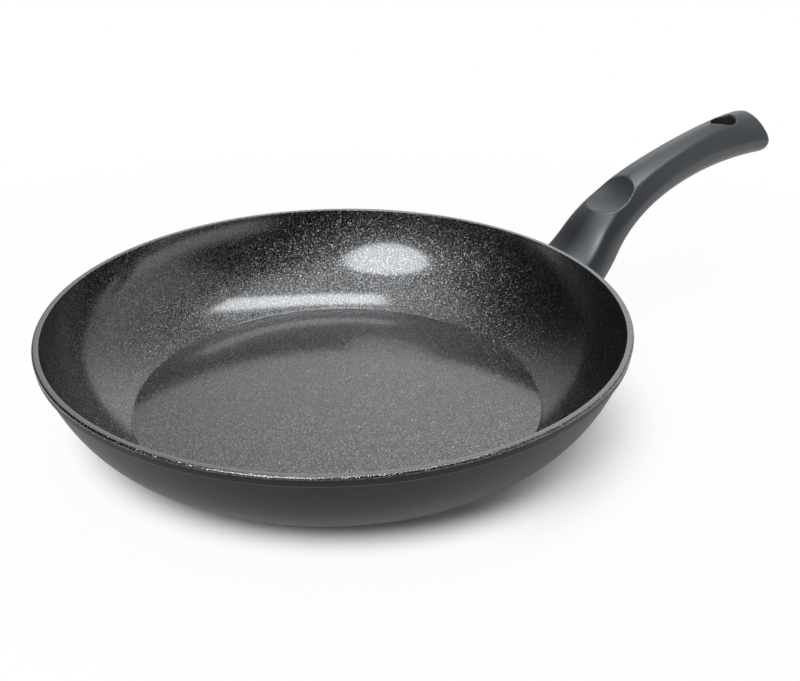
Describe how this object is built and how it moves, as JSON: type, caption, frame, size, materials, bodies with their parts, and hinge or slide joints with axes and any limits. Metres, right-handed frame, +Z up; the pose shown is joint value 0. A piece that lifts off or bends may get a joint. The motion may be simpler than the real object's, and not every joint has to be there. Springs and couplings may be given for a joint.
{
  "type": "frying pan",
  "caption": "Round coated aluminium frying pan with a bowl-shaped wall, a sunk flat floor, a steel plate in its base and an arched moulded handle with a thumb scoop and hanging hole.",
  "frame": {"origin": "on the pan's axis, at the underside of its base, where it stands", "axes": "+Z up out of the bowl, +X along the handle, +Y to the left of the handle seen from the bowl"},
  "size_m": [0.4401, 0.28, 0.0996],
  "materials": {
    "pan_coat": "dark grey ceramic coat with fine light flecks inside, satin dark grey outside",
    "base_steel": "fine turned",
    "stud_aluminium": "bare, turned",
    "handle_moulding": "matte, very fine grain",
    "fastener_steel": "zinc plated"
  },
  "bodies": {
    "root": {"pan_body": "pan_coat", "induction_plate": "base_steel", "handle_stud": "stud_aluminium", "handle": "handle_moulding", "lock_washer": "fastener_steel", "handle_screw": "fastener_steel"}
  },
  "joints": []
}
